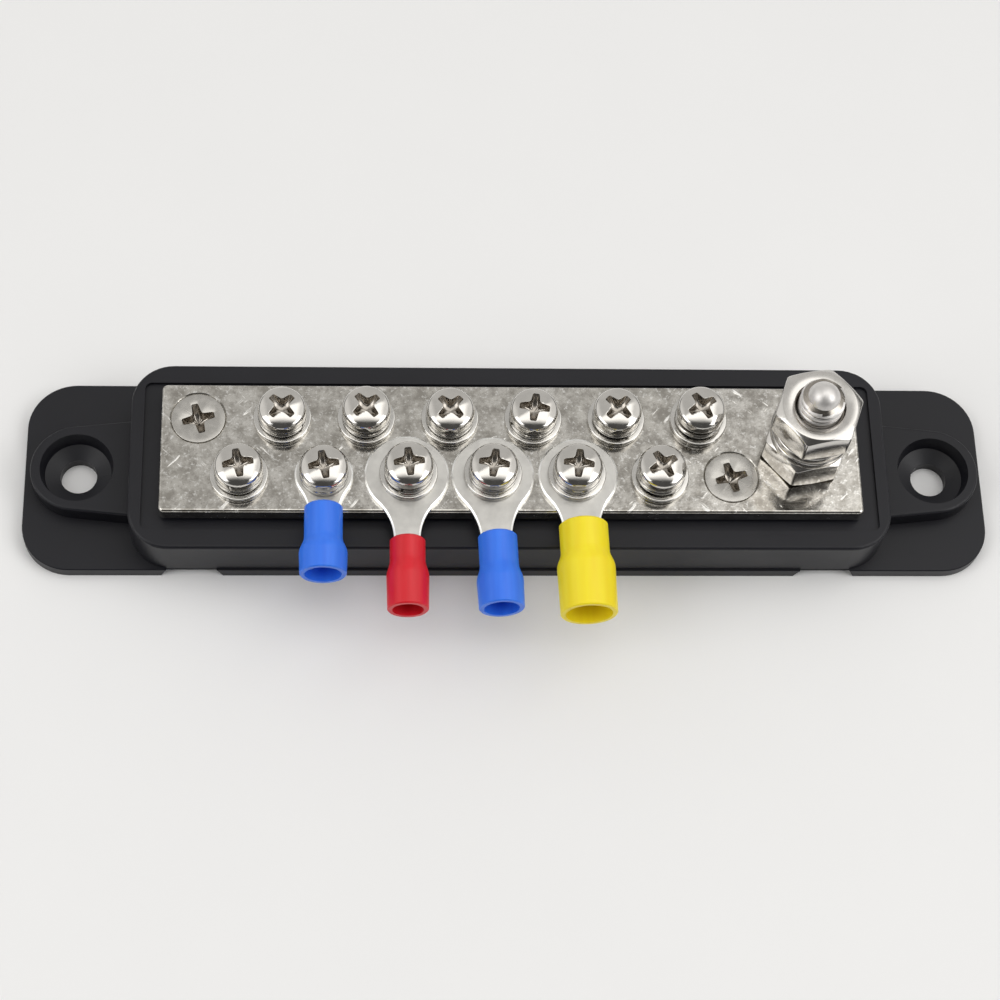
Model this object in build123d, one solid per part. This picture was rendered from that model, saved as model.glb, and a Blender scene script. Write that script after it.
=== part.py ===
from build123d import *
import math
import os

# Insulated bus bar: a plated bar with twelve terminal screws and one main stud on a moulded base.
# Frame: origin at the centre of the base's underside, +X towards the stud, -Y towards the
# ring terminals, +Z up. Millimetres.

# --- base -------------------------------------------------------------------------------------
FLANGE_LENGTH = 141.0
FLANGE_WIDTH = 29.6
FLANGE_THICK = 2.0
FLANGE_CORNER = 7.0
FLANGE_CHAMFER = 0.12
BODY_LENGTH = 109.7
BODY_WIDTH = 29.0
BODY_HEIGHT = 9.35
BODY_CORNER = 6.0
BODY_EDGE = 0.45
STEP_DEPTH = 0.5
STEP_INSET_X = 1.9
STEP_INSET_Y = 2.9
STEP_CORNER = 1.0
PAD_LENGTH = 97.0
PAD_WIDTH = 17.0
PAD_CORNER = 1.5
WALL = 2.0
DECK_THICK = 3.4
STEP_FLOOR = BODY_HEIGHT - STEP_DEPTH
DECK = STEP_FLOOR - DECK_THICK
RIB_THICK = 1.4
RIB_XS = (-48.0, -24.0, 0.0, 24.0)
RIB_RECESS = 0.9
OVERLAP = 0.2

MOUNT_HOLE_X = 62.75
MOUNT_HOLE_R = 2.65
BOSS_HEIGHT = 5.0
BOSS_R = 6.7
BOSS_ROOT_HALF = 7.7
BOSS_ROOT_X = BODY_LENGTH / 2 - 1.0
BOSS_EDGE = 0.4
BORE_FLOOR_R = 4.8
BORE_TOP_R = 5.3
BORE_FLOOR_Z = 2.6
CONE_FOOT_Z = 1.7

NOTCH_X = 46.0
NOTCH_TOP = 7.2
NOTCH_FOOT = 8.9
NOTCH_DEPTH = 0.9

# --- bar and terminal screws --------------------------------------------------------------------
BAR_LENGTH = 100.5
BAR_WIDTH = 20.0
BAR_TOP = 12.0
BAR_THICK = 2.4
BAR_BOTTOM = BAR_TOP - BAR_THICK
BAR_CORNER = 0.8
BAR_EDGE = 0.4

PITCH = 12.0
ROW_Y = 4.5
BACK_ROW_X = -33.0
FRONT_ROW_X = -39.0
SCREWS_PER_ROW = 6

SCREW_R = 2.0
SCREW_LENGTH = 8.0
SCREW_POINT = 0.4
HEAD_R = 3.45
HEAD_HEIGHT = 2.6
HEAD_SIDE = 1.7
HEAD_SHOULDER = 0.8
HEAD_FOOT = 0.12
RECESS_DEPTH = 1.7
RECESS_ARM = 2.7
RECESS_BLADE_TOP = 1.1
RECESS_BLADE_FOOT = 0.55
RECESS_FOOT_ARM = 1.2
RECESS_CORE_TOP_R = 1.15
RECESS_CORE_FOOT_R = 0.55
RECESS_POINT = 0.2
RECESS_RISE = 0.3
FLAT_WASHER_R = 4.15
FLAT_WASHER_THICK = 0.8
LOCK_WASHER_R = 3.5
LOCK_WASHER_THICK = 1.0
WASHER_HOLE_R = 2.15
WASHER_CHAMFER = 0.12
SPLIT_WIDTH = 0.35
SPLIT_LEAN = 25
WELL_R = 2.7
WELL_FLOOR = 2.9
THREAD_FIT = 0.05

# Cross recess angles, in degrees from the X axis, in order along each row.
BACK_TURNS = [45, 40, 45, -8, 45, 30]
FRONT_TURNS = [10, 10, 5, -8, -6, 30]
# How far each spring lock washer still stands open, in order along each row.
BACK_OPEN = [0.3, 0.7, 0.3, 0.3, 0.5, 1.1]
FRONT_OPEN = [0.5, 0.1, 0.4, 0.0, 0.0, 0.6]
WITHOUT_FLAT_WASHER = ["front_2"]

# --- countersunk bar screws -----------------------------------------------------------------------
BAR_SCREWS = {"left": (-45.0, 4.6, 15), "right": (31.4, -4.4, 16)}
CSK_HEAD_R = 3.85
CSK_RIM = 0.2
CSK_LENGTH = 9.0
CSK_RECESS_DEPTH = 1.8
CSK_RECESS_ARM = 2.5
CSK_FIT = 0.03
CSK_CLEARANCE = 0.15
CAPTIVE_BOSS_WALL = 2.4
CAPTIVE_BOSS_FOOT = 0.6
NUT_POCKET_FIT = 0.2
CAPTIVE_NUT_FLATS = 7.0
CAPTIVE_NUT_THICK = 3.2
CAPTIVE_NUT_TOP = 7.0

# --- main stud --------------------------------------------------------------------------------------
STUD_X = 42.05
STUD_R = 3.175
STUD_TIP_R = 2.25
STUD_TIP_Z = 31.0
STUD_TIP_ROUND = 1.7
STUD_TIP_CHAMFER = 0.5
STUD_HEAD_FLATS = 11.1
STUD_HEAD_THICK = 4.2
NUT_FLATS = 11.1
NUT_THICK = 5.56
NUT_TURN = 10
NUT_SINK = 0.5
NUT_FACE_INSET = 0.1
STUD_BLOCK = 17.0
STUD_POCKET_GAP = 0.1
STUD_WASHER_R = 5.75
STUD_WASHER_THICK = 1.6
STUD_WASHER_HOLE_R = 3.4
STUD_LOCK_INSET = 0.1
STUD_SPLIT_TURN = 100

# --- ring terminals -----------------------------------------------------------------------------------
TONGUE_THICK = 0.8
TONGUE_BEVEL = 0.24
TONGUE_BEVEL_DROP = 0.14
SLEEVE_WALL = 0.7
SLEEVE_LIP = 0.25
SLEEVE_SWELL = 2.6
MOUTH_DEPTH = 3.2
MOUTH_LIP = 0.15
MOUTH_TAPER = 0.1
BARREL_PAST_FLARE = 1.2
BARREL_GAP = 0.3
# For each terminal: its screw in the front row, ring radius, ring hole radius, sideways shift of
# the ring, half-width of the tongue's waist, radius of the curve from ring to waist, yaw in
# degrees, the Y of the sleeve's back edge, of the start of its flare and of its mouth, outer
# radius of its neck and of its flare, and the radius of the crimp barrel's bore.
TERMINALS = {
    "blue_small": dict(screw=1, ring=4.15, hole=2.2, shift=0.0, waist=2.0, fillet=8.0, yaw=0.0,
                       back=-10.1, flare=-14.8, mouth=-20.4, neck=2.7, wide=3.4, bore=1.15),
    "red": dict(screw=2, ring=6.0, hole=3.2, shift=-0.25, waist=1.85, fillet=8.0, yaw=0.0,
                back=-15.05, flare=-18.2, mouth=-25.6, neck=2.5, wide=3.0, bore=0.85),
    "blue_large": dict(screw=3, ring=5.9, hole=3.2, shift=0.0, waist=2.15, fillet=10.0, yaw=2.0,
                       back=-14.5, flare=-19.0, mouth=-25.5, neck=2.75, wide=3.3, bore=1.15),
    "yellow": dict(screw=4, ring=5.7, hole=3.2, shift=0.2, waist=2.6, fillet=8.0, yaw=1.5,
                   back=-13.1, flare=-17.3, mouth=-26.6, neck=3.45, wide=4.1, bore=1.7),
}

PARTS = {}


def row_positions():
    """Every terminal screw: name, x, y."""
    back = [(f"back_{i + 1}", BACK_ROW_X + i * PITCH, ROW_Y) for i in range(SCREWS_PER_ROW)]
    front = [(f"front_{i + 1}", FRONT_ROW_X + i * PITCH, -ROW_Y) for i in range(SCREWS_PER_ROW)]
    return back + front


def tongue_under(name):
    """Thickness of the ring terminal clamped under a terminal screw, or 0."""
    held = {f"front_{t['screw'] + 1}" for t in TERMINALS.values()}
    return TONGUE_THICK if name in held else 0.0


def rod(radius, low, high, x=0.0, y=0.0):
    """Upright cylinder between two heights."""
    return Pos(x, y, (low + high) / 2) * Cylinder(radius, high - low)


def turned(points):
    """Solid of revolution about Z from (radius, height) points."""
    outline = Polyline(*[(r, 0, z) for r, z in points], close=True)
    return revolve(make_face(outline), Axis.Z)


def hexagon(flats, low, high, turn=0):
    """Hexagonal prism, with a corner at angle turn."""
    across_corners = flats / math.cos(math.radians(30))
    outline = RegularPolygon(across_corners / 2, 6, rotation=turn)
    return extrude(Pos(0, 0, low) * outline, high - low)


def rounded_block(length, width, low, high, corner):
    return extrude(Pos(0, 0, low) * RectangleRounded(length, width, corner), high - low)


def ear_outline(side):
    """Plan of a raised boss: a round end that widens to the body wall."""
    lean = math.atan2(BOSS_ROOT_HALF - BOSS_R, MOUNT_HOLE_X - BOSS_ROOT_X)
    touch_x = MOUNT_HOLE_X + BOSS_R * math.sin(lean)
    touch_y = BOSS_R * math.cos(lean)
    sides = Polyline((touch_x, -touch_y), (BOSS_ROOT_X, -BOSS_ROOT_HALF),
                     (BOSS_ROOT_X, BOSS_ROOT_HALF), (touch_x, touch_y))
    nose = ThreePointArc((touch_x, touch_y), (MOUNT_HOLE_X + BOSS_R, 0), (touch_x, -touch_y))
    outline = make_face(sides + nose)
    return outline if side > 0 else mirror(outline, Plane.YZ)


def boss_bore():
    """Cutter for one mounting hole: a tapered counterbore, a conical seat and the hole."""
    return turned([(0, -1), (MOUNT_HOLE_R, -1), (MOUNT_HOLE_R, CONE_FOOT_Z),
                   (BORE_FLOOR_R, BORE_FLOOR_Z), (BORE_TOP_R, BOSS_HEIGHT),
                   (BORE_TOP_R, BOSS_HEIGHT + 1), (0, BOSS_HEIGHT + 1)])


def notch(x, side):
    """Wedge cut out of the flange edge for a clip of the cover."""
    edge = FLANGE_WIDTH / 2
    low = Pos(x, side * edge, 0) * Rectangle(NOTCH_FOOT, 2 * NOTCH_DEPTH)
    top = Pos(x, side * edge, FLANGE_THICK) * Rectangle(NOTCH_TOP, 2 * NOTCH_DEPTH)
    return loft([low, top])


def shell():
    """Flange, hollow body and bosses, with the shallow step and the pad that the bar lies on."""
    flange = rounded_block(FLANGE_LENGTH, FLANGE_WIDTH, 0, FLANGE_THICK, FLANGE_CORNER)
    flange = chamfer(flange.edges().group_by(Axis.Z)[-1], FLANGE_CHAMFER)
    body = rounded_block(BODY_LENGTH, BODY_WIDTH, 0, BODY_HEIGHT, BODY_CORNER)
    body = fillet(body.edges().group_by(Axis.Z)[-1], BODY_EDGE)
    tray = flange + body
    for side in (-1, 1):
        boss = extrude(ear_outline(side), BOSS_HEIGHT)
        tray += fillet(boss.edges().group_by(Axis.Z)[-1], BOSS_EDGE)
    tray -= rounded_block(BODY_LENGTH - 2 * STEP_INSET_X, BODY_WIDTH - 2 * STEP_INSET_Y,
                          STEP_FLOOR, BODY_HEIGHT + 1, STEP_CORNER)
    tray += rounded_block(PAD_LENGTH, PAD_WIDTH, STEP_FLOOR - OVERLAP, BAR_BOTTOM, PAD_CORNER)
    tray -= rounded_block(BODY_LENGTH - 2 * WALL, BODY_WIDTH - 2 * WALL, -1, DECK, BODY_CORNER - WALL)
    return tray


def underside_ribs():
    """Everything that stands in the hollow: wells for the screws, ribs, and bosses for the nuts."""
    height = DECK + OVERLAP - RIB_RECESS
    middle = RIB_RECESS + height / 2
    inside_length = BODY_LENGTH - 2 * WALL + 2 * OVERLAP
    inside_width = BODY_WIDTH - 2 * WALL + 2 * OVERLAP
    ribs = Pos(0, 0, middle) * Box(inside_length, RIB_THICK, height)
    for x in RIB_XS:
        ribs += Pos(x, 0, middle) * Box(RIB_THICK, inside_width, height)
    ribs += Pos(STUD_X, 0, middle) * Box(STUD_BLOCK, STUD_BLOCK, height)
    for _, x, y in row_positions():
        ribs += rod(WELL_R + RIB_THICK, WELL_FLOOR - RIB_THICK, DECK + OVERLAP, x, y)
    for x, y, _ in BAR_SCREWS.values():
        ribs += rod(CAPTIVE_NUT_FLATS / 2 + CAPTIVE_BOSS_WALL, CAPTIVE_BOSS_FOOT, DECK + OVERLAP, x, y)
    return ribs


def base():
    tray = shell() + underside_ribs()
    for _, x, y in row_positions():
        tray -= rod(WELL_R, WELL_FLOOR, BAR_BOTTOM + 1, x, y)
    for x, y, _ in BAR_SCREWS.values():
        tray -= rod(SCREW_R + THREAD_FIT + NUT_POCKET_FIT, 0, BAR_BOTTOM + 1, x, y)
        tray -= Pos(x, y, 0) * hexagon(CAPTIVE_NUT_FLATS + NUT_POCKET_FIT, -1, CAPTIVE_NUT_TOP)
    pocket_low = BAR_BOTTOM - STUD_HEAD_THICK - STUD_POCKET_GAP
    tray -= Pos(STUD_X, 0, 0) * hexagon(STUD_HEAD_FLATS + NUT_POCKET_FIT, pocket_low, BAR_BOTTOM + 1,
                                        NUT_TURN)
    for side in (-1, 1):
        tray -= Pos(side * MOUNT_HOLE_X, 0, 0) * boss_bore()
        for x in (-NOTCH_X, NOTCH_X):
            tray -= notch(x, side)
    return tray


# --- bar -----------------------------------------------------------------------------------------

def countersink():
    """Cutter for a 90 degree countersink, whose cone runs on past the head's rim to the bar's top."""
    foot_r = SCREW_R + CSK_FIT
    foot = BAR_TOP - CSK_RIM - CSK_HEAD_R + SCREW_R
    mouth = BAR_TOP + 1
    return turned([(0, foot), (foot_r, foot), (foot_r + mouth - foot, mouth), (0, mouth)])


def bus_bar():
    bar = rounded_block(BAR_LENGTH, BAR_WIDTH, BAR_BOTTOM, BAR_TOP, BAR_CORNER)
    bar = fillet(bar.edges().group_by(Axis.Z)[-1], BAR_EDGE)
    for _, x, y in row_positions():
        bar -= rod(SCREW_R + THREAD_FIT, BAR_BOTTOM - 1, BAR_TOP + 1, x, y)
    for x, y, _ in BAR_SCREWS.values():
        bar -= rod(SCREW_R + CSK_CLEARANCE, BAR_BOTTOM - 1, BAR_TOP + 1, x, y)
        bar -= Pos(x, y, 0) * countersink()
    bar -= rod(STUD_R + THREAD_FIT, BAR_BOTTOM - 1, BAR_TOP + 1, STUD_X, 0)
    return bar


# --- terminal screws -----------------------------------------------------------------------------

def cross_recess(top, depth, arm):
    """Cutter for a cross recess: two tapered blades and a tapered core."""
    brim = top + RECESS_RISE
    foot = top - depth
    point = foot - RECESS_POINT
    wide = Pos(0, 0, brim) * Rectangle(2 * arm, RECESS_BLADE_TOP)
    narrow = Pos(0, 0, foot) * Rectangle(2 * RECESS_FOOT_ARM, RECESS_BLADE_FOOT)
    blade = loft([narrow, wide])
    core = turned([(0, point), (RECESS_CORE_FOOT_R, point), (RECESS_CORE_TOP_R, brim), (0, brim)])
    return blade + Rot(0, 0, 90) * blade + core


def cap_arc(radius, low, top):
    """Half outline of a spherical cap from its rim to its crown on the axis."""
    height = top - low
    sphere_r = (radius ** 2 + height ** 2) / (2 * height)
    half_angle = math.asin(radius / sphere_r) / 2
    middle = (sphere_r * math.sin(half_angle), 0, top - sphere_r + sphere_r * math.cos(half_angle))
    return ThreePointArc((radius, 0, low), middle, (0, 0, top))


def pan_head(low):
    """Pan head: an upright side, a rounded shoulder and a low crown."""
    top = low + HEAD_HEIGHT
    side = low + HEAD_SIDE
    outline = Polyline((0, 0, top), (0, 0, low), (HEAD_R - HEAD_FOOT, 0, low),
                       (HEAD_R, 0, low + HEAD_FOOT), (HEAD_R, 0, side))
    head = revolve(make_face(outline + cap_arc(HEAD_R, side, top)), Axis.Z)
    rim = [e for e in head.edges().filter_by(GeomType.CIRCLE) if abs(e.center().Z - side) < 0.01]
    return fillet(rim, HEAD_SHOULDER)


def terminal_screw(low, turn):
    """Pan-head machine screw with its bearing face at height low."""
    screw = pan_head(low) + rod(SCREW_R, low - SCREW_LENGTH, low + OVERLAP)
    screw = chamfer(screw.edges().group_by(Axis.Z)[0], SCREW_POINT)
    screw -= cross_recess(low + HEAD_HEIGHT, RECESS_DEPTH, RECESS_ARM)
    return Rot(0, 0, turn) * screw


def flat_washer(radius, hole, low, high):
    washer = rod(radius, low, high) - rod(hole, low - 1, high + 1)
    return chamfer(washer.edges().filter_by(GeomType.CIRCLE).group_by(SortBy.RADIUS)[-1], WASHER_CHAMFER)


def split_washer(radius, hole, low, high, turn):
    """Spring lock washer, drawn as a level ring as tall as it stands, with a slanted split."""
    ring = rod(radius, low, high) - rod(hole, low - 1, high + 1)
    thick = high - low
    slit = Rot(SPLIT_LEAN, 0, 0) * Box(2 * (radius - hole), SPLIT_WIDTH, 4 * thick)
    return ring - Rot(0, 0, turn) * Pos((radius + hole) / 2, 0, low + thick / 2) * slit


def terminal_hardware():
    turns = BACK_TURNS + FRONT_TURNS
    openings = BACK_OPEN + FRONT_OPEN
    for (name, x, y), turn, opening in zip(row_positions(), turns, openings):
        place = Pos(x, y, 0)
        low = BAR_TOP + tongue_under(name)
        if name not in WITHOUT_FLAT_WASHER:
            PARTS[f"flat_washer_{name}"] = place * flat_washer(
                FLAT_WASHER_R, WASHER_HOLE_R, low, low + FLAT_WASHER_THICK)
            low += FLAT_WASHER_THICK
        top = low + LOCK_WASHER_THICK + opening
        PARTS[f"lock_washer_{name}"] = place * split_washer(
            LOCK_WASHER_R, WASHER_HOLE_R, low, top, 3 * turn - 60)
        PARTS[f"terminal_screw_{name}"] = place * terminal_screw(top, turn)


# --- countersunk screws and their nuts --------------------------------------------------------------

def bar_screw(x, y, turn):
    depth = CSK_HEAD_R - SCREW_R
    low = BAR_TOP - CSK_RIM
    head = turned([(0, low - depth), (SCREW_R, low - depth), (CSK_HEAD_R, low), (CSK_HEAD_R, BAR_TOP),
                   (0, BAR_TOP)])
    screw = head + rod(SCREW_R, BAR_TOP - CSK_LENGTH, low - depth + OVERLAP)
    screw -= cross_recess(BAR_TOP, CSK_RECESS_DEPTH, CSK_RECESS_ARM)
    return Pos(x, y, 0) * Rot(0, 0, turn) * screw


def hex_nut(flats, hole, low, high, turn=0):
    """Hex nut with its corners rounded off by a 30 degree chamfer at both faces."""
    nut = hexagon(flats, low, high, turn)
    corner = flats / math.cos(math.radians(30)) / 2
    face_r = flats / 2 - NUT_FACE_INSET
    drop = (corner - face_r) * math.tan(math.radians(30))
    nut &= turned([(0, low), (face_r, low), (corner, low + drop), (corner, high - drop),
                   (face_r, high), (0, high)])
    mouth = hole + NUT_SINK + 1
    bore = turned([(0, low - 1), (mouth, low - 1), (hole, low + NUT_SINK), (hole, high - NUT_SINK),
                   (mouth, high + 1), (0, high + 1)])
    return nut - bore


def bar_fasteners():
    for name, (x, y, turn) in BAR_SCREWS.items():
        PARTS[f"bar_screw_{name}"] = bar_screw(x, y, turn)
        nut = hex_nut(CAPTIVE_NUT_FLATS, SCREW_R + THREAD_FIT, CAPTIVE_NUT_TOP - CAPTIVE_NUT_THICK,
                      CAPTIVE_NUT_TOP)
        PARTS[f"captive_nut_{name}"] = Pos(x, y, 0) * nut


# --- main stud --------------------------------------------------------------------------------------

def stud_bolt():
    head_low = BAR_BOTTOM - STUD_HEAD_THICK
    head = hexagon(STUD_HEAD_FLATS, head_low, BAR_BOTTOM, NUT_TURN)
    shoulder = STUD_TIP_Z - STUD_TIP_ROUND
    foot = BAR_BOTTOM - OVERLAP
    side = Polyline((0, 0, STUD_TIP_Z), (0, 0, foot), (STUD_R, 0, foot),
                    (STUD_R, 0, shoulder - STUD_TIP_CHAMFER), (STUD_TIP_R, 0, shoulder))
    shank = revolve(make_face(side + cap_arc(STUD_TIP_R, shoulder, STUD_TIP_Z)), Axis.Z)
    return Pos(STUD_X, 0, 0) * (head + shank)


def stud_hardware():
    hole = STUD_R + THREAD_FIT
    low = BAR_TOP
    PARTS["stud_bolt"] = stud_bolt()
    PARTS["stud_lower_nut"] = Pos(STUD_X, 0, 0) * hex_nut(NUT_FLATS, hole, low, low + NUT_THICK, NUT_TURN)
    low += NUT_THICK
    PARTS["stud_flat_washer"] = Pos(STUD_X, 0, 0) * flat_washer(
        STUD_WASHER_R, STUD_WASHER_HOLE_R, low, low + STUD_WASHER_THICK)
    low += STUD_WASHER_THICK
    PARTS["stud_lock_washer"] = Pos(STUD_X, 0, 0) * split_washer(
        STUD_WASHER_R - STUD_LOCK_INSET, STUD_WASHER_HOLE_R, low, low + STUD_WASHER_THICK,
        STUD_SPLIT_TURN)
    low += STUD_WASHER_THICK
    PARTS["stud_upper_nut"] = Pos(STUD_X, 0, 0) * hex_nut(NUT_FLATS, hole, low, low + NUT_THICK, NUT_TURN)


# --- ring terminals -----------------------------------------------------------------------------------

def tongue_outline(t, reach):
    """Plan of the ring and its tongue, ring centre at the origin, tongue towards -Y."""
    ring = t["ring"]
    big = t["fillet"]
    centre_x = t["waist"] + big
    foot = math.sqrt((ring + big) ** 2 - centre_x ** 2)
    share = ring / (ring + big)
    start = (centre_x * share, -foot * share)
    end_y = -min(reach, foot)
    end_x = centre_x - math.sqrt(big ** 2 - (foot + end_y) ** 2)
    start_angle = math.atan2(start[1] + foot, start[0] - centre_x)
    end_angle = math.atan2(end_y + foot, end_x - centre_x)
    mid_angle = (start_angle + end_angle) / 2
    mid = (centre_x + big * math.cos(mid_angle), -foot + big * math.sin(mid_angle))
    curve = ThreePointArc(start, mid, (end_x, end_y))
    tail = [(end_x, end_y), (end_x, -reach), (0, -reach), (0, 0), start]
    if reach <= foot:
        tail.pop(1)
    half = make_face(curve + Polyline(*tail))
    return half + mirror(half, Plane.YZ) + Circle(ring)


def along_barrel(axis_z):
    """Frame whose Z runs along the barrel towards -Y, through the barrel's axis."""
    return Plane(origin=(0, 0, axis_z), x_dir=(1, 0, 0), z_dir=(0, -1, 0))


def ring_terminal(t):
    """Metal ring, tongue and crimp barrel in one piece, ring centre at the origin."""
    barrel_r = t["neck"] - SLEEVE_WALL
    back = -ROW_Y - t["back"]
    length = t["back"] - t["flare"] + BARREL_PAST_FLARE
    middle = back + length / 2
    frame = along_barrel(barrel_r)
    plate = extrude(tongue_outline(t, back), TONGUE_THICK)
    top = plate.faces().sort_by(Axis.Z)[-1]
    plate = chamfer(top.edges(), TONGUE_BEVEL, TONGUE_BEVEL_DROP, reference=top)
    whole = frame * Pos(0, 0, middle) * Cylinder(barrel_r, length)
    hollow = frame * Pos(0, 0, middle) * Cylinder(t["bore"], length + 1)
    metal = plate + (whole - hollow)
    return metal - Cylinder(t["hole"], 4 * TONGUE_THICK)


def sleeve(t):
    """Plastic sleeve: a neck over the barrel that flares to the wire's mouth."""
    neck = t["neck"]
    wide = t["wide"]
    barrel_r = neck - SLEEVE_WALL
    back = -ROW_Y - t["back"]
    flare = -ROW_Y - t["flare"]
    mouth = -ROW_Y - t["mouth"]
    swollen = flare + SLEEVE_SWELL
    barrel_end = flare + BARREL_PAST_FLARE + BARREL_GAP
    rim = wide - MOUTH_TAPER
    inner = rim - SLEEVE_WALL
    outline = Polyline((barrel_r, 0, back), (neck - SLEEVE_LIP, 0, back), (neck, 0, back + SLEEVE_LIP),
                       (neck, 0, flare))
    swell = Spline((neck, 0, flare), (wide, 0, swollen), tangents=[(0, 0, 1), (0, 0, 1)])
    rest = Polyline((wide, 0, swollen), (rim, 0, mouth - MOUTH_LIP), (rim - MOUTH_LIP, 0, mouth),
                    (inner, 0, mouth), (inner, 0, mouth - MOUTH_DEPTH), (barrel_r, 0, barrel_end),
                    (barrel_r, 0, back))
    return along_barrel(barrel_r) * revolve(make_face(outline + swell + rest), Axis.Z)


def ring_terminals():
    for name, t in TERMINALS.items():
        x = FRONT_ROW_X + t["screw"] * PITCH
        place = Pos(x, -ROW_Y, BAR_TOP) * Rot(0, 0, t["yaw"]) * Pos(t["shift"], 0, 0)
        PARTS[f"ring_terminal_{name}"] = place * ring_terminal(t)
        PARTS[f"sleeve_{name}"] = place * sleeve(t)


def main():
    PARTS["base"] = base()
    PARTS["bus_bar"] = bus_bar()
    terminal_hardware()
    bar_fasteners()
    stud_hardware()
    ring_terminals()
    os.makedirs("parts", exist_ok=True)
    for name, solid in PARTS.items():
        export_step(solid, f"parts/{name}.step")


main()
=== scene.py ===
import math

import bmesh
import bpy
from mathutils import Matrix, Vector


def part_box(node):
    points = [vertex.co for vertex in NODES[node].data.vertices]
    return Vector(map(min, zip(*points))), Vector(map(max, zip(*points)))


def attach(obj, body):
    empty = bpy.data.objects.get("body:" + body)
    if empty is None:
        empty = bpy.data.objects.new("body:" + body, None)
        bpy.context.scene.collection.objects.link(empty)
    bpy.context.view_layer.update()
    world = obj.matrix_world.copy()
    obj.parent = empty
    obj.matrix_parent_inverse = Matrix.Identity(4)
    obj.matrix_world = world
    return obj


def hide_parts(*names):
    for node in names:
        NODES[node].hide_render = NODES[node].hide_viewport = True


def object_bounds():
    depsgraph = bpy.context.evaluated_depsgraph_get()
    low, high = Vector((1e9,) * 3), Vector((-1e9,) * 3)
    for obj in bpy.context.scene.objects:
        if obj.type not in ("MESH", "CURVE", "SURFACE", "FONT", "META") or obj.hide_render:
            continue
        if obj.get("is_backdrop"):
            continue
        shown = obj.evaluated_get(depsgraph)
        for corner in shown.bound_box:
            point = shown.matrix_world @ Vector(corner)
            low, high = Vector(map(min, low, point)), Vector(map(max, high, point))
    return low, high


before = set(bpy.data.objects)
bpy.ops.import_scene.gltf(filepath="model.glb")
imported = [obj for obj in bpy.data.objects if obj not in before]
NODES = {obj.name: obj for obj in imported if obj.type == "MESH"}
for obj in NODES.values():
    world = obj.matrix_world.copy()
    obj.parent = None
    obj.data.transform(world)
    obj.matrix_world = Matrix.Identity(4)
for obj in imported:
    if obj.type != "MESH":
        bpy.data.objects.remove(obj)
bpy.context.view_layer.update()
MM = 0.001
# The second and third slots hold painted shade: a darker colour in recesses and thread roots, and a
# near-black one in gaps and on nut corners.
OWN, IN_SHADE, IN_DEEP_SHADE = range(3)  # material slots of every new piece


# --- shapes: every builder works in millimetres and returns a bmesh -----------------------------

def soften(points, radius, steps=3, closed=False):
    """Outline with its corners rounded off."""
    count = len(points)
    rounded = []
    for i, point in enumerate(points):
        if not closed and i in (0, count - 1):
            rounded.append(tuple(point))
            continue
        here = Vector(point)
        before = Vector(points[i - 1])
        after = Vector(points[(i + 1) % count])
        reach = min(radius, 0.45 * (before - here).length, 0.45 * (after - here).length)
        start = here + (before - here).normalized() * reach
        end = here + (after - here).normalized() * reach
        for step in range(steps + 1):
            t = step / steps
            rounded.append(tuple(start * (1 - t) ** 2 + here * 2 * t * (1 - t) + end * t ** 2))
    return rounded


def bridge(bm, rows, wrap_rows=False, wrap_columns=True):
    """Faces between neighbouring rows of vertices. A row of one vertex is a pole."""
    pairs = list(zip(rows, rows[1:]))
    if wrap_rows:
        pairs.append((rows[-1], rows[0]))
    for low, high in pairs:
        count = max(len(low), len(high))
        for i in range(count if wrap_columns else count - 1):
            j = (i + 1) % count
            if len(low) == 1:
                bm.faces.new((low[0], high[j], high[i]))
            elif len(high) == 1:
                bm.faces.new((low[i], low[j], high[0]))
            else:
                bm.faces.new((low[i], low[j], high[j], high[i]))


def lathe(profile, segments=72, closed=False):
    """Surface of revolution about Z from (radius, height) points."""
    bm = bmesh.new()
    rows = []
    for radius, height in profile:
        if radius < 1e-6:
            rows.append([bm.verts.new((0, 0, height))])
            continue
        rows.append([bm.verts.new((radius * math.cos(math.tau * i / segments),
                                   radius * math.sin(math.tau * i / segments), height))
                     for i in range(segments)])
    bridge(bm, rows, wrap_rows=closed)
    return bm


# One pitch of a thread: (place along the pitch, height between root 0 and crest 1).
# The crests are rolled round and the roots are sharp.
THREAD_FORM = [(0.0, 0.0), (0.06, 0.3), (0.14, 0.6), (0.25, 0.84), (0.38, 0.97), (0.5, 1.0),
               (0.62, 0.97), (0.75, 0.84), (0.86, 0.6), (0.94, 0.3)]
WELD = 0.002


def threaded_rod(crest, depth, lead, low, high, limit, segments=64):
    """Right-hand threaded rod. limit(z) is the largest radius allowed at a height."""
    bm = bmesh.new()
    turns = math.ceil((high - low) / lead) + 2
    size = len(THREAD_FORM)
    columns = []
    for i in range(segments):
        angle = math.tau * i / segments
        column = []
        for j in range(turns * size):
            along, rise = THREAD_FORM[j % size]
            z = low + lead * (j // size - 1 + along + i / segments)
            radius = crest - depth * (1 - rise)
            if z <= low:
                z, radius = low, crest - depth
            z = min(z, high)
            radius = min(radius, limit(z))
            column.append(bm.verts.new((radius * math.cos(angle), radius * math.sin(angle), z)))
        columns.append(column)
    for i in range(segments):
        here = columns[i]
        there = columns[(i + 1) % segments]
        shift = size if i == segments - 1 else 0
        for j in range(turns * size - 1 - shift):
            bm.faces.new((here[j + shift], there[j], there[j + 1], here[j + 1 + shift]))
    bmesh.ops.remove_doubles(bm, verts=bm.verts, dist=WELD)
    bmesh.ops.dissolve_degenerate(bm, edges=bm.edges, dist=WELD / 2)
    loops = [e for e in bm.edges if e.is_boundary]
    bmesh.ops.holes_fill(bm, edges=loops, sides=0)
    return bm


def cap_sphere(radius, rise):
    """Radius of the sphere that a cap of the given radius and height is cut from."""
    return (radius ** 2 + rise ** 2) / (2 * rise)


def cap_height(radius, rim, top, r):
    """Height of a spherical cap at distance r from its axis."""
    sphere = cap_sphere(radius, top - rim)
    return top - sphere + math.sqrt(max(sphere ** 2 - r ** 2, 0.0))


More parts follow.
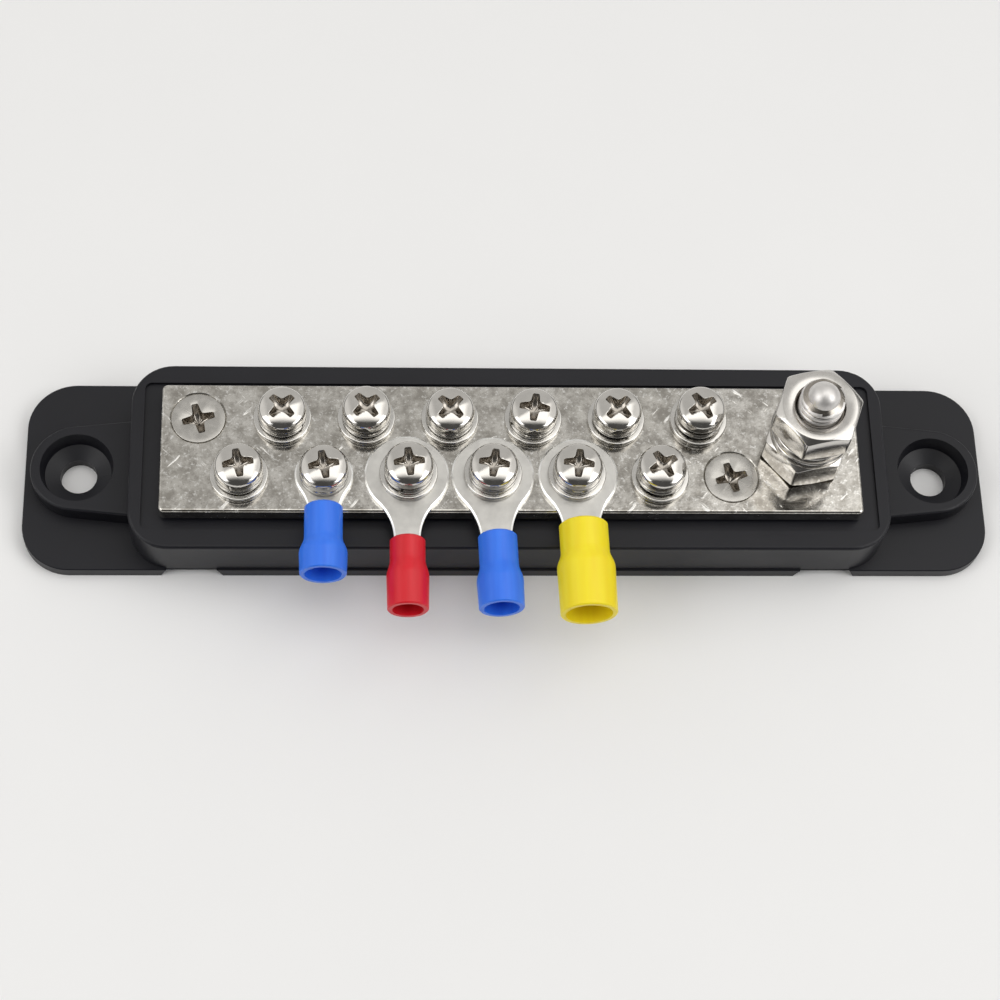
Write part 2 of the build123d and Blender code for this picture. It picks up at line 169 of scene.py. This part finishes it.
def flat_ring(hole, outer, thick, edge, steps, segments=72):
    """Flat washer with rounded edges, lying on height 0."""
    corners = [(hole, 0), (outer, 0), (outer, thick), (hole, thick)]
    return lathe(soften(corners, edge, steps, closed=True), segments, closed=True)


def split_ring(inner, outer, low, high, gap_deg, lift, segments=80):
    """Spring lock washer: a square-section ring with a slanted split, its ends sprung apart by lift."""
    edge = 0.25
    section = soften([(inner, low), (outer, low), (outer, high), (inner, high)], edge, 3, closed=True)
    middle = (low + high) / 2
    slant = math.radians(10)
    bm = bmesh.new()
    rows = []
    for i in range(segments + 1):
        share = i / segments
        angle = math.radians(gap_deg / 2 + (360 - gap_deg) * share)
        raised = lift * (share - 0.5)
        row = []
        for radius, z in section:
            a = angle + slant * (z - middle)
            row.append(bm.verts.new((radius * math.cos(a), radius * math.sin(a), z + raised)))
        rows.append(row)
    bridge(bm, rows)
    bm.faces.new(rows[0])
    bm.faces.new(rows[-1])
    return bm


def hex_nut(flats, hole, low, high, turn_deg):
    """Hex nut: 30 degree corner chamfers that leave round faces, and a countersunk hole.

    The hole gets the recess's painted shade. The chamfer below gets a darker painted shade for the shadow
    in the gap under the nut, and the six upright corners get it too."""
    face_r = 0.945 * flats / 2
    corner_r = flats / 2 / math.cos(math.pi / 6) - 0.1
    slope = math.tan(math.radians(30))
    sink = 0.43
    chamfer_zone = 0.35
    corner_clear = 0.4
    bm = bmesh.new()
    rows = [[] for _ in range(8)]
    for side in range(6):
        for offset in (-30, -28.6, -27, -22, -16, -8, 0, 8, 16, 22, 27, 28.6):
            reach = min(flats / 2 / math.cos(math.radians(offset)), corner_r)
            drop = (reach - face_r) * slope
            profile = [(hole, high - 2 * sink), (hole + sink, high), (face_r, high), (reach, high - drop),
                       (reach, low + drop), (face_r, low), (hole + sink, low), (hole, low + 2 * sink)]
            a = math.radians(60 * side + offset + 30 + turn_deg)
            for row, (radius, z) in zip(rows, profile):
                row.append(bm.verts.new((radius * math.cos(a), radius * math.sin(a), z)))
    bridge(bm, rows, wrap_rows=True)
    # painted shade in the countersunk hole
    paint_recess_shade(bm, hole + 0.9 * sink, lambda r: high, low)
    # darker painted shade on the lower chamfer, for the shadow under the nut, and on the upright corners
    for face in bm.faces:
        middle = face.calc_center_median()
        r = math.hypot(middle.x, middle.y)
        corner = corner_r * 0.997 < r and low + corner_clear < middle.z < high - corner_clear
        if corner or (r > face_r and middle.z < low + chamfer_zone):
            face.material_index = IN_DEEP_SHADE
    round_edges(bm, 0.08, 20)
    return bm


def round_edges(bm, width, angle_deg, segments=2):
    """Small rounds on every edge sharper than the given angle."""
    bmesh.ops.recalc_face_normals(bm, faces=bm.faces)
    limit = math.radians(angle_deg)
    sharp = [e for e in bm.edges if len(e.link_faces) == 2 and e.calc_face_angle(0) > limit]
    bmesh.ops.bevel(bm, geom=sharp, offset=width, segments=segments, profile=0.5, affect="EDGES",
                    clamp_overlap=True)


BLADE_HALF = 0.62
BLADE_WEB = 0.5


def cross_cutter(top, depth, arm):
    """Tapered cross with rounded webs between its four blades, pointed at the bottom."""
    spare = 0.6
    point = 0.35
    bm = bmesh.new()
    rows = []
    for z, scale in ((top + spare, 1.1), (top, 1.0), (top - depth * 0.72, 0.74), (top - depth, 0.42)):
        reach = arm * scale
        half = BLADE_HALF * (0.55 + 0.45 * scale)
        corner = BLADE_WEB * scale
        end = half * 0.78
        blunt = reach - 0.12 * scale
        quadrant = [(blunt, -end), (reach, -end * 0.72), (reach, end * 0.72), (blunt, end)]
        for step in range(5):
            a = math.radians(270 - 90 * step / 4)
            quadrant.append((half + corner + corner * math.cos(a), half + corner + corner * math.sin(a)))
        row = []
        for turn in range(4):
            spin = Matrix.Rotation(turn * math.pi / 2, 2)
            for x, y in quadrant:
                p = spin @ Vector((x, y))
                row.append(bm.verts.new((p.x, p.y, z)))
        rows.append(row)
    rows.append([bm.verts.new((0, 0, top - depth - point))])
    bridge(bm, rows)
    bm.faces.new(rows[0])
    return bm


def paint_recess_shade(bm, reach, surface, floor):
    """Painted shade on the faces under the surface, over the floor and within reach of the axis."""
    for face in bm.faces:
        middle = face.calc_center_median()
        r = math.hypot(middle.x, middle.y)
        if r < reach and floor < middle.z < surface(r) - 0.06:
            face.material_index = IN_SHADE


def to_mesh(name, bm, smooth_deg=32):
    """Mesh in metres, smooth except across edges sharper than smooth_deg."""
    bmesh.ops.recalc_face_normals(bm, faces=bm.faces)
    limit = math.radians(smooth_deg)
    for face in bm.faces:
        face.smooth = True
    for e in bm.edges:
        e.smooth = len(e.link_faces) == 2 and e.calc_face_angle(0) < limit
    bmesh.ops.scale(bm, vec=(MM, MM, MM), verts=bm.verts)
    mesh = bpy.data.meshes.new(name)
    bm.to_mesh(mesh)
    bm.free()
    return mesh


def joined(*parts):
    """One bmesh from several."""
    whole = bmesh.new()
    for part in parts:
        holder = bpy.data.meshes.new("holder")
        part.to_mesh(holder)
        whole.from_mesh(holder)
        part.free()
        bpy.data.meshes.remove(holder)
    return whole


def carved(body, cutter, operation="DIFFERENCE"):
    """bmesh of body with cutter taken away, or added."""
    objects = []
    for bm in (body, cutter):
        bmesh.ops.recalc_face_normals(bm, faces=bm.faces)
        mesh = bpy.data.meshes.new("carve")
        bm.to_mesh(mesh)
        bm.free()
        obj = bpy.data.objects.new("carve", mesh)
        bpy.context.scene.collection.objects.link(obj)
        objects.append(obj)
    modifier = objects[0].modifiers.new("carve", "BOOLEAN")
    modifier.object = objects[1]
    modifier.operation = operation
    modifier.solver = "EXACT"
    result = bmesh.new()
    result.from_object(objects[0], bpy.context.evaluated_depsgraph_get())
    for obj in objects:
        bpy.data.objects.remove(obj)
    return result


def piece(name, mesh, material, body, nodes, at=(0, 0, 0), turn_deg=0.0):
    """A new visible piece on a CAD body, in place of CAD nodes. at is in metres.

    Pieces that share a mesh share its materials, in the order: their own finish, a painted shade for
    recesses, and a darker painted shade for gaps and corners."""
    obj = bpy.data.objects.new(name, mesh)
    bpy.context.scene.collection.objects.link(obj)
    if not mesh.materials:
        mesh.materials.append(material)
        mesh.materials.append(PAINTED_SHADE)
        mesh.materials.append(PAINTED_DEEP_SHADE)
    obj.location = at
    obj.rotation_euler = (0, 0, math.radians(turn_deg))
    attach(obj, body)
    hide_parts(*nodes)


# --- materials -------------------------------------------------------------------------------------

class Shader:
    """A Principled material with short calls for its nodes."""

    def __init__(self, name, **sockets):
        self.material = bpy.data.materials.new(name)
        self.material.use_nodes = True
        self.tree = self.material.node_tree
        self.bsdf = self.tree.nodes["Principled BSDF"]
        for socket, value in sockets.items():
            self.bsdf.inputs[socket.replace("_", " ")].default_value = value
        self.coords = self.add("ShaderNodeTexCoord").outputs["Object"]

    def add(self, kind, **values):
        node = self.tree.nodes.new(kind)
        for key, value in values.items():
            setattr(node, key, value)
        return node

    def link(self, source, target):
        self.tree.links.new(source, target)

    def mapped(self, scale, turn=(0, 0, 0), shift=(0, 0, 0), kind="POINT"):
        node = self.add("ShaderNodeMapping", vector_type=kind)
        node.inputs["Scale"].default_value = scale
        node.inputs["Rotation"].default_value = turn
        node.inputs["Location"].default_value = shift
        self.link(self.coords, node.inputs["Vector"])
        return node.outputs["Vector"]

    def noise(self, scale, detail=3.0, rough=0.55, vector=None):
        node = self.add("ShaderNodeTexNoise")
        node.inputs["Scale"].default_value = scale
        node.inputs["Detail"].default_value = detail
        node.inputs["Roughness"].default_value = rough
        self.link(vector or self.coords, node.inputs["Vector"])
        return node.outputs["Fac"]

    def spread(self, value, low, high, to_low, to_high):
        """Value from one range to another, clamped."""
        node = self.add("ShaderNodeMapRange")
        for socket, number in zip(("From Min", "From Max", "To Min", "To Max"),
                                  (low, high, to_low, to_high)):
            node.inputs[socket].default_value = number
        self.link(value, node.inputs["Value"])
        return node.outputs["Result"]

    def maths(self, operation, a, b):
        node = self.add("ShaderNodeMath", operation=operation)
        for socket, value in zip(node.inputs, (a, b)):
            if isinstance(value, (int, float)):
                socket.default_value = value
            else:
                self.link(value, socket)
        return node.outputs["Value"]

    def mix(self, factor, first, second):
        """Colour between two colours; either may be a socket."""
        node = self.add("ShaderNodeMix", data_type="RGBA")
        self.link(factor, node.inputs["Factor"])
        for socket, value in ((node.inputs[6], first), (node.inputs[7], second)):
            if isinstance(value, (tuple, list)):
                socket.default_value = (*value, 1.0)
            else:
                self.link(value, socket)
        return node.outputs[2]

    def bump(self, height, distance, strength, under=None):
        """Normal bent by a height; under is the normal of a coarser bump."""
        node = self.add("ShaderNodeBump")
        node.inputs["Distance"].default_value = distance
        node.inputs["Strength"].default_value = strength
        self.link(height, node.inputs["Height"])
        if under is not None:
            self.link(under, node.inputs["Normal"])
        return node.outputs["Normal"]

    def colour(self, socket):
        self.link(socket, self.bsdf.inputs["Base Color"])

    def roughness(self, socket):
        self.link(socket, self.bsdf.inputs["Roughness"])

    def normal(self, socket):
        self.link(socket, self.bsdf.inputs["Normal"])

    def scratches(self, turn, fine, seed):
        """Short thin straight marks in one direction, 1 on a mark and 0 off it."""
        lines = self.noise(1.0, 2.0, 0.5, self.mapped((1 / fine, 7 / fine, 1 / fine), (0, 0, turn), seed,
                                                      "TEXTURE"))
        mask = self.noise(360.0, 1.0, 0.5, self.mapped((1, 1, 1), (0, 0, 0), seed))
        sharp = self.spread(lines, 0.65, 0.70, 0.0, 1.0)
        return self.maths("MULTIPLY", sharp, self.spread(mask, 0.52, 0.6, 0.0, 1.0))


def moulded_plastic():
    """Black thermoplastic: fine moulded grain and faint flow patches."""
    s = Shader("moulded_black", Specular_IOR_Level=0.34)
    patches = s.noise(60.0, 3.0, 0.6)
    fine = s.noise(2600.0, 2.0, 0.5)
    s.colour(s.mix(s.spread(patches, 0.3, 0.7, 0.0, 1.0), (0.0062, 0.0063, 0.0092),
                   (0.0088, 0.0090, 0.0128)))
    s.roughness(s.spread(patches, 0.3, 0.7, 0.36, 0.46))
    s.normal(s.bump(fine, 0.00002, 0.35))
    return s.material


def plated_bar():
    """Nickel-plated copper bar, tumbled: a speckled mirror with dents and a few fine scratches."""
    s = Shader("plated_bar", Metallic=1.0)
    cloud = s.noise(70.0, 4.0, 0.6)
    mottle = s.noise(430.0, 5.0, 0.7)
    grain = s.noise(1800.0, 3.0, 0.65)
    marks = s.maths("MAXIMUM", s.scratches(0.8, 1500.0, (0, 0, 0)),
                    s.scratches(-0.75, 1300.0, (0.3, 0.1, 0)))
    base = s.mix(s.spread(cloud, 0.3, 0.7, 0.0, 1.0), (0.60, 0.58, 0.535), (0.70, 0.68, 0.64))
    base = s.mix(s.spread(mottle, 0.38, 0.60, 0.9, 0.0), base, (0.36, 0.34, 0.305))
    base = s.mix(s.spread(grain, 0.56, 0.70, 0.0, 0.9), base, (0.93, 0.92, 0.89))
    base = s.mix(s.spread(grain, 0.30, 0.42, 0.6, 0.0), base, (0.33, 0.31, 0.285))
    s.colour(s.mix(marks, base, (0.92, 0.91, 0.88)))
    rough = s.maths("ADD", s.spread(mottle, 0.3, 0.7, 0.08, 0.17), s.maths("MULTIPLY", marks, 0.2))
    s.roughness(rough)
    dents = s.bump(s.noise(300.0, 2.0, 0.5), 0.00004, 0.4)
    shallow = s.bump(mottle, 0.00002, 0.45, dents)
    finer = s.bump(grain, 0.00001, 0.5, shallow)
    s.normal(s.bump(marks, 0.00002, 0.6, finer))
    return s.material


def bright_steel(name, colour, low, high, grain=0.3):
    """Hardware metal with faint blotches and fine grain. low and high are the limits of its roughness."""
    s = Shader(name, Metallic=1.0)
    blotch = s.noise(420.0, 3.0, 0.6)
    fine = s.noise(3600.0, 2.0, 0.5)
    darker = tuple(c * 0.9 for c in colour)
    s.colour(s.mix(s.spread(blotch, 0.35, 0.65, 0.0, 1.0), darker, colour))
    s.roughness(s.spread(s.noise(800.0, 2.0), 0.3, 0.7, low, high))
    s.normal(s.bump(fine, 0.000005, grain))
    return s.material


def tinned_sheet():
    """Tin-plated copper: pale and matt on its flat faces, with a painted highlight where it slopes at the
    edges.
    """
    s = Shader("tinned_sheet", Metallic=1.0)
    cloud = s.noise(500.0, 3.0, 0.6)
    fine = s.noise(5200.0, 2.0, 0.5)
    face = s.mix(s.spread(cloud, 0.3, 0.7, 0.0, 1.0), (0.55, 0.54, 0.515), (0.66, 0.65, 0.62))
    facing = s.add("ShaderNodeSeparateXYZ")
    s.link(s.add("ShaderNodeNewGeometry").outputs["True Normal"], facing.inputs["Vector"])
    # painted highlight: near-white colour on faces tilted away from upright, for the light caught on the
    # stamped edges
    s.colour(s.mix(s.spread(facing.outputs["Z"], 0.9, 0.97, 1.0, 0.0), face, (0.98, 0.98, 0.96)))
    s.roughness(s.spread(cloud, 0.3, 0.7, 0.28, 0.4))
    s.normal(s.bump(fine, 0.000012, 0.4))
    return s.material


def vinyl(name, colour, deep):
    """Soft coloured vinyl: slightly translucent, with faint flow streaks along the sleeve."""
    s = Shader(name, Subsurface_Weight=0.12, Subsurface_Radius=(0.001, 0.001, 0.001),
               Subsurface_Scale=1.0)
    streak = s.noise(1.0, 2.0, 0.5, s.mapped((900, 60, 900)))
    s.colour(s.mix(s.spread(streak, 0.3, 0.7, 0.0, 1.0), deep, colour))
    s.roughness(s.spread(s.noise(700.0, 2.0), 0.3, 0.7, 0.3, 0.42))
    s.normal(s.bump(s.noise(2400.0, 2.0), 0.00001, 0.3))
    return s.material


BLACK = moulded_plastic()
BAR = plated_bar()
SCREW = bright_steel("screw_nickel", (0.70, 0.68, 0.645), 0.07, 0.14)
WASHER = bright_steel("washer_zinc", (0.68, 0.665, 0.635), 0.1, 0.2)
STEEL = bright_steel("stainless", (0.70, 0.68, 0.65), 0.13, 0.2, 0.15)
STUD = bright_steel("stud_stainless", (0.80, 0.78, 0.76), 0.42, 0.52, 0.3)
# painted shade: near-black steel coloured in for the shadow in the gap under a nut and on the nut's
# upright corners
PAINTED_DEEP_SHADE = bright_steel("painted_deep_shade_steel", (0.07, 0.063, 0.052), 0.35, 0.5)
DULL = bright_steel("countersunk_steel", (0.52, 0.505, 0.475), 0.2, 0.34)
# painted shade: darkened steel coloured in for the shade in recesses, countersinks, thread roots and under
# the stud's tip
PAINTED_SHADE = bright_steel("painted_shade_steel", (0.40, 0.37, 0.33), 0.16, 0.28)
TIN = tinned_sheet()
VINYL = {
    "blue": vinyl("vinyl_blue", (0.038, 0.208, 0.92), (0.028, 0.168, 0.84)),
    "red": vinyl("vinyl_red", (0.72, 0.012, 0.025), (0.64, 0.008, 0.017)),
    "yellow": vinyl("vinyl_yellow", (0.97, 0.80, 0.016), (0.94, 0.73, 0.012)),
}


def size_mm(node):
    """A CAD node's centre in metres at its own height 0, and its box in millimetres."""
    low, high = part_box(node)
    centre = ((low[0] + high[0]) / 2, (low[1] + high[1]) / 2)
    return centre, [c / MM for c in low], [c / MM for c in high]


def dress(node, material):
    """Keep a CAD node and give it a finish."""
    slots = NODES[node].data.materials
    slots.clear()
    slots.append(material)


# --- terminal screws and their washers -----------------------------------------------------------------

SCREW_R = 2.0
SCREW_LEAD = 0.7
THREAD_DEPTH = 0.4
HEAD_R = 3.45
HEAD_RISE = 2.6
HEAD_SIDE = 1.7
HEAD_SHOULDER = 0.8
RECESS_DEPTH = 1.75
RECESS_ARM = 2.36
LOCK_THICK = 1.0
WASHER_HOLE_R = 2.15
BACK_TURNS = [45, 40, 45, -8, 45, 30]
FRONT_TURNS = [10, 10, 5, -8, -6, 30]
SPLIT_TURNS = [-35, 150, 70, 200, -60, 110, 20, 130, 250, -20, 80, 300]


def pointed(length):
    """Largest radius of a screw's shank at a height, with the end chamfered."""
    return lambda z: min(SCREW_R, 1.5 + (z + length) * 0.9)


def head_profile():
    """Outline of a pan head: a spherical crown, a round shoulder tangent to it, and an upright side."""
    sphere = cap_sphere(HEAD_R, HEAD_RISE - HEAD_SIDE)
    ring = HEAD_R - HEAD_SHOULDER
    foot = HEAD_RISE - sphere + math.sqrt((sphere - HEAD_SHOULDER) ** 2 - ring ** 2)
    lean = math.asin(ring / (sphere - HEAD_SHOULDER))
    crown = sphere * math.sin(lean)
    profile = [(crown * i / 8, cap_height(HEAD_R, HEAD_SIDE, HEAD_RISE, crown * i / 8)) for i in range(8)]
    for step in range(8):
        a = (math.pi / 2 - lean) * (1 - step / 7)
        profile.append((ring + HEAD_SHOULDER * math.cos(a), foot + HEAD_SHOULDER * math.sin(a)))
    profile += soften([(HEAD_R, 0.5), (HEAD_R, 0.0), (SCREW_R + 0.05, 0.0)], 0.22, 4)
    return profile + [(1.72, 0.0), (0.0, 0.0)]


def screw_mesh(length):
    """Pan-head machine screw, cross recess up, with the head's bearing face at height 0."""
    bm = carved(lathe(head_profile()), cross_cutter(HEAD_RISE, RECESS_DEPTH, RECESS_ARM))
    # painted shade in the cross recess
    paint_recess_shade(bm, 2.5, lambda r: cap_height(HEAD_R, HEAD_SIDE, HEAD_RISE, r), -0.1)
    round_edges(bm, 0.06, 38)
    shank = threaded_rod(SCREW_R, THREAD_DEPTH, SCREW_LEAD, -length, -0.02, pointed(length))
    return to_mesh("pan_screw", joined(bm, shank), 34)


def terminal_rows():
    """Name and recess angle of every terminal screw."""
    rows = [(f"back_{i + 1}", turn) for i, turn in enumerate(BACK_TURNS)]
    return rows + [(f"front_{i + 1}", turn) for i, turn in enumerate(FRONT_TURNS)]


def terminal_hardware():
    """Twelve screws with their washers. A sprung lock washer climbs in a shallow helix."""
    screw = washer = None
    for (name, turn), split in zip(terminal_rows(), SPLIT_TURNS):
        screw_node, lock_node, flat_node = (f"{kind}_{name}" for kind in
                                            ("terminal_screw", "lock_washer", "flat_washer"))
        (x, y), lock_low, lock_high = size_mm(lock_node)
        if screw is None:
            screw = screw_mesh(lock_high[2] - size_mm(screw_node)[1][2])
        piece(f"screw_{name}", screw, SCREW, f"screw_{name}", [screw_node],
              (x, y, lock_high[2] * MM), turn)
        height = lock_high[2] - lock_low[2]
        gap = 0.05
        climb = max(height - LOCK_THICK, 0.0) + 0.06
        outer = (lock_high[0] - lock_low[0]) / 2
        ring = split_ring(WASHER_HOLE_R, outer, gap + climb / 2, height - gap - climb / 2, 5.0, climb)
        piece(f"lock_washer_shown_{name}", to_mesh(f"lock_washer_{name}", ring), WASHER,
              f"washers_{name}", [lock_node], (x, y, lock_low[2] * MM), split)
        if flat_node not in NODES:
            continue
        (x, y), low, high = size_mm(flat_node)
        if washer is None:
            outer = (high[0] - low[0]) / 2
            washer = to_mesh("flat_washer", flat_ring(WASHER_HOLE_R, outer, high[2] - low[2], 0.2, 4))
        piece(f"flat_washer_shown_{name}", washer, WASHER, f"washers_{name}", [flat_node],
              (x, y, low[2] * MM), 3 * turn)


# --- countersunk bar screws ------------------------------------------------------------------------------

CSK_RIM = 0.2
CSK_FOOT = 0.05
CSK_RECESS_DEPTH = 1.8
CSK_RECESS_ARM = 2.35
CSK_SUNK = 0.05


def bar_screws():
    """The two countersunk screws, a hair below the bar's face, and their captive nuts."""
    for side, turn in (("left", 15), ("right", 16)):
        node = f"bar_screw_{side}"
        (x, y), low, high = size_mm(node)
        top = high[2]
        radius = (high[0] - low[0]) / 2
        length = top - low[2]
        neck = -CSK_RIM - (radius - SCREW_R)
        profile = [(0.0, 0.0), (radius * 0.8, 0.0)]
        profile += soften([profile[-1], (radius, 0.0), (radius, -CSK_RIM), (SCREW_R, neck)], 0.1)[1:]
        profile += [(1.7, neck - CSK_FOOT), (0.0, neck - CSK_FOOT)]
        bm = carved(lathe(profile), cross_cutter(0.0, CSK_RECESS_DEPTH, CSK_RECESS_ARM))
        # painted shade in the cross recess
        paint_recess_shade(bm, 2.6, lambda r: 0.0, -2.2)
        round_edges(bm, 0.05, 38)
        shank = threaded_rod(SCREW_R, THREAD_DEPTH, SCREW_LEAD, -length, neck, pointed(length))
        mesh = to_mesh(f"countersunk_{side}", joined(bm, shank), 34)
        piece(f"countersunk_{side}", mesh, DULL, "root", [node],
              (x, y, (top - CSK_SUNK) * MM), turn)
        nut = f"captive_nut_{side}"
        (x, y), low, high = size_mm(nut)
        mesh = to_mesh(nut, hex_nut(high[1] - low[1], SCREW_R + 0.02, 0.0, high[2] - low[2], 0))
        piece(f"{nut}_shown", mesh, WASHER, "root", [nut], (x, y, low[2] * MM))


# --- main stud -------------------------------------------------------------------------------------------

STUD_R = 3.175
STUD_LEAD = 1.27
STUD_THREAD_DEPTH = 0.62
STUD_TURN = 10
NUT_FLATS = 11.1
STUD_WASHER_HOLE_R = 3.4
TIP_R = 2.25
TIP_RISE = 1.7
TIP_CHAMFER = 0.5


def stud_rod(low, tip):
    """The stud's thread and its round tip. The thread's roots and the foot of the tip are painted in
    shade, to draw dark thread grooves and a dark ring round the tip.
    """
    shoulder = tip - TIP_RISE

    def limit(z):
        if z < shoulder - TIP_CHAMFER:
            return STUD_R
        if z < shoulder:
            return STUD_R - (z - shoulder + TIP_CHAMFER) / TIP_CHAMFER * (STUD_R - TIP_R)
        return TIP_R

    rod = threaded_rod(STUD_R, STUD_THREAD_DEPTH, STUD_LEAD, low, shoulder, limit, 72)
    # painted shade: darker colour on the thread roots and on the chamfer under the tip
    root = STUD_R - 0.3
    for face in rod.faces:
        middle = face.calc_center_median()
        if middle.z > shoulder - TIP_CHAMFER / 2 or math.hypot(middle.x, middle.y) < root:
            face.material_index = IN_SHADE
    dome = [(TIP_R * i / 12, cap_height(TIP_R, shoulder, tip, TIP_R * i / 12)) for i in range(13)]
    dome += [(TIP_R, shoulder - 0.1), (TIP_R - 0.4, shoulder - 0.5), (0.0, shoulder - 0.5)]
    return carved(rod, lathe(dome), "UNION")


def main_stud():
    """The stud with its hex head, its two nuts, and the washers between them."""
    (x, y), low, high = size_mm("stud_bolt")
    head_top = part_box("bus_bar")[0][2] / MM
    bolt_head = hex_nut(NUT_FLATS, 2.0, low[2], head_top, STUD_TURN)
    mesh = to_mesh("stud", joined(stud_rod(head_top - 0.2, high[2]), bolt_head), 34)
    piece("stud", mesh, STUD, "root", ["stud_bolt"], (x, y, 0))

    for node, body in (("stud_lower_nut", "root"), ("stud_upper_nut", "upper_nut")):
        (x, y), low, high = size_mm(node)
        mesh = to_mesh(node, hex_nut(NUT_FLATS, STUD_R + 0.02, 0.0, high[2] - low[2], STUD_TURN))
        piece(f"{node}_shown", mesh, STEEL, body, [node], (x, y, low[2] * MM))

    (x, y), low, high = size_mm("stud_flat_washer")
    flat = flat_ring(STUD_WASHER_HOLE_R, (high[0] - low[0]) / 2, high[2] - low[2], 0.3, 3, 96)
    piece("stud_flat_washer_shown", to_mesh("stud_flat_washer", flat), STEEL, "stud_washers",
          ["stud_flat_washer"], (x, y, low[2] * MM))
    (x, y), low, high = size_mm("stud_lock_washer")
    gap = 0.06
    ring = split_ring(STUD_WASHER_HOLE_R, (high[0] - low[0]) / 2, gap, high[2] - low[2] - gap, 4.0, 0.08)
    piece("stud_lock_washer_shown", to_mesh("stud_lock_washer", ring), STEEL, "stud_washers",
          ["stud_lock_washer"], (x, y, low[2] * MM), 100)


# --- floor, light and camera -----------------------------------------------------------------------------

CAMERA_PLACE = Vector((-0.02355, -0.14599, 0.31954))
CAMERA_AIM = Vector((-0.00202, -0.00810, 0.012))
CAMERA_ROLL = 8.27
CAMERA_LENS = 85.55
FRONT_GLOW = 0.08
LOW_GLOW = 0.12
BACK_GLOW = 0.62
TOP_GLOW = 1.68
SIDE_GLOW = 0.9


def stage():
    """A pale floor just under the base."""
    mesh = bpy.data.meshes.new("floor")
    half = 3.0
    mesh.from_pydata([(-half, -half, 0), (half, -half, 0), (half, half, 0), (-half, half, 0)], [],
                     [(0, 1, 2, 3)])
    floor = bpy.data.objects.new("floor", mesh)
    bpy.context.scene.collection.objects.link(floor)
    s = Shader("pale_floor", Roughness=0.6)
    s.colour(s.mix(s.noise(40.0), (0.85, 0.85, 0.85), (0.87, 0.87, 0.87)))
    mesh.materials.append(s.material)
    floor.location.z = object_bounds()[0][2] - 0.00002
    floor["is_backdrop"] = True


def softbox(name, azimuth, elevation, distance, size, power):
    """Square area light aimed at the object. Azimuth 0 is in front, on the -Y side."""
    data = bpy.data.lights.new(name, "AREA")
    data.shape = "RECTANGLE"
    data.size, data.size_y = size
    data.energy = power
    light = bpy.data.objects.new(name, data)
    bpy.context.scene.collection.objects.link(light)
    az, el = math.radians(azimuth), math.radians(elevation)
    light.location = Vector((math.sin(az) * math.cos(el), -math.cos(az) * math.cos(el),
                             math.sin(el))) * distance
    light.rotation_euler = light.location.to_track_quat("Z", "Y").to_euler()


def tent():
    """Light tent: bright overhead, softer behind and at the sides, dark in front and low down."""
    world = bpy.data.worlds.new("tent")
    world.use_nodes = True
    tree = world.node_tree

    def node(kind, **values):
        made = tree.nodes.new(kind)
        for key, value in values.items():
            setattr(made, key, value)
        return made

    def spread(source, *numbers):
        made = node("ShaderNodeMapRange", interpolation_type="SMOOTHSTEP")
        tree.links.new(source, made.inputs["Value"])
        for socket, number in zip(("From Min", "From Max", "To Min", "To Max"), numbers):
            made.inputs[socket].default_value = number
        return made.outputs["Result"]

    def blend(factor, low, high):
        made = node("ShaderNodeMix", data_type="FLOAT")
        for name, source in (("Factor", factor), ("A", low), ("B", high)):
            tree.links.new(source, made.inputs[name])
        return made.outputs["Result"]

    split = node("ShaderNodeSeparateXYZ")
    tree.links.new(node("ShaderNodeTexCoord").outputs["Generated"], split.inputs["Vector"])
    x, y, z = (split.outputs[axis] for axis in "XYZ")
    aside = node("ShaderNodeMath", operation="ABSOLUTE")
    tree.links.new(x, aside.inputs[0])
    slanted = node("ShaderNodeMath", operation="MULTIPLY_ADD")
    tree.links.new(x, slanted.inputs[0])
    slanted.inputs[1].default_value = -0.5
    tree.links.new(y, slanted.inputs[2])
    above = spread(slanted.outputs["Value"], 0.24, 0.36, TOP_GLOW, BACK_GLOW)
    front = spread(z, -0.3, 0.6, LOW_GLOW, FRONT_GLOW)
    middle = blend(spread(y, -0.34, -0.06, 0.0, 1.0), front, above)
    side = spread(z, 0.12, 0.42, LOW_GLOW, SIDE_GLOW)
    glow = blend(spread(aside.outputs["Value"], 0.5, 0.66, 0.0, 1.0), middle, side)
    tree.links.new(glow, tree.nodes["Background"].inputs["Strength"])
    tree.nodes["Background"].inputs["Color"].default_value = (1.0, 0.985, 0.96, 1)
    bpy.context.scene.world = world


def lights():
    tent()
    softbox("left", -70, 40, 0.9, (0.5, 0.5), 1.6)
    softbox("right", 70, 40, 0.9, (0.5, 0.5), 2.0)


def camera():
    data = bpy.data.cameras.new("camera")
    data.lens = CAMERA_LENS
    data.sensor_width = 36
    data.clip_start = 0.01
    cam = bpy.data.objects.new("camera", data)
    bpy.context.scene.collection.objects.link(cam)
    look = (CAMERA_PLACE - CAMERA_AIM).to_track_quat("Z", "Y").to_matrix()
    roll = Matrix.Rotation(math.radians(CAMERA_ROLL), 3, "Z")
    cam.matrix_world = Matrix.Translation(CAMERA_PLACE) @ (look @ roll).to_4x4()
    bpy.context.scene.camera = cam
    bpy.context.scene.view_settings.view_transform = "Standard"


dress("base", BLACK)
dress("bus_bar", BAR)
for kind in ("blue_small", "red", "blue_large", "yellow"):
    dress(f"ring_terminal_{kind}", TIN)
    dress(f"sleeve_{kind}", VINYL[kind.split("_")[0]])
terminal_hardware()
bar_screws()
main_stud()
stage()
lights()
camera()
